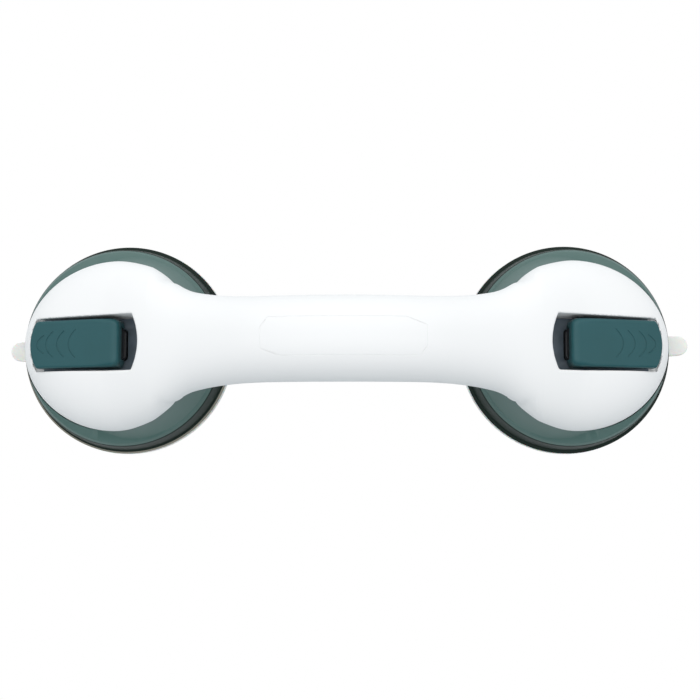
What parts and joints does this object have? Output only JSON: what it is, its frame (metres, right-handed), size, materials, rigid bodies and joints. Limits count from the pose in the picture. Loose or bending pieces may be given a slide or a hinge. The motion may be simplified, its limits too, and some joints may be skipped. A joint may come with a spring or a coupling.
{
  "type": "suction grab bar",
  "caption": "Arched white grip bar whose ends spread into hoods, each over a suction cup with a flip lever that draws the rubber pad up.",
  "frame": {"origin": "on the wall plane, under the middle of the bar", "axes": "+X along the bar, +Y across it, +Z away from the wall"},
  "size_m": [0.3, 0.0912, 0.078],
  "materials": {
    "white_shell": "glossy moulded ABS",
    "green_base": "satin moulded ABS",
    "green_lever": "satin moulded ABS",
    "rubber": "translucent soft moulded rubber",
    "black": "moulded acetal",
    "slate": "punched acetal sheet",
    "steel": "plain zinc-plated"
  },
  "bodies": {
    "handle": {"handle_shell": "white_shell", "handle_back": "white_shell", "back_screw_1": "steel", "back_screw_2": "steel", "back_screw_3": "steel", "back_screw_4": "steel", "left_base_ring": "green_base", "left_suction_pad": "rubber", "left_wear_plate": "slate", "left_return_spring": "steel", "left_base_screw_1": "steel", "left_base_screw_2": "steel", "left_base_screw_3": "steel", "left_base_screw_4": "steel", "right_base_ring": "green_base", "right_suction_pad": "rubber", "right_wear_plate": "slate", "right_return_spring": "steel", "right_base_screw_1": "steel", "right_base_screw_2": "steel", "right_base_screw_3": "steel", "right_base_screw_4": "steel"},
    "left_stem": {"left_stem": "black", "left_spring_washer": "steel", "left_pivot_pin": "steel"},
    "left_lever": {"left_lever": "green_lever"},
    "right_stem": {"right_stem": "black", "right_spring_washer": "steel", "right_pivot_pin": "steel"},
    "right_lever": {"right_lever": "green_lever"}
  },
  "joints": [
    {"name": "left_stem_slide", "type": "slide", "parent": "handle", "child": "left_stem", "axis": [0, 0, 1], "range_m": [-0.00298, 0], "deforming": ["left_return_spring", "left_suction_pad"]},
    {"name": "left_lever_flip", "type": "hinge", "parent": "left_stem", "child": "left_lever", "pos_m": [-0.0955, 0, 0.0375], "axis": [0, 1, 0], "range_deg": [0, 90]},
    {"name": "right_stem_slide", "type": "slide", "parent": "handle", "child": "right_stem", "axis": [0, 0, 1], "range_m": [-0.00298, 0], "deforming": ["right_return_spring", "right_suction_pad"]},
    {"name": "right_lever_flip", "type": "hinge", "parent": "right_stem", "child": "right_lever", "pos_m": [0.0955, 0, 0.0375], "axis": [0, -1, 0], "range_deg": [0, 90]}
  ],
  "couplings": [
    {"joint": "left_lever_flip", "follows": "left_stem_slide", "rad_per_m": -526.3},
    {"joint": "right_lever_flip", "follows": "right_stem_slide", "rad_per_m": -526.3}
  ]
}
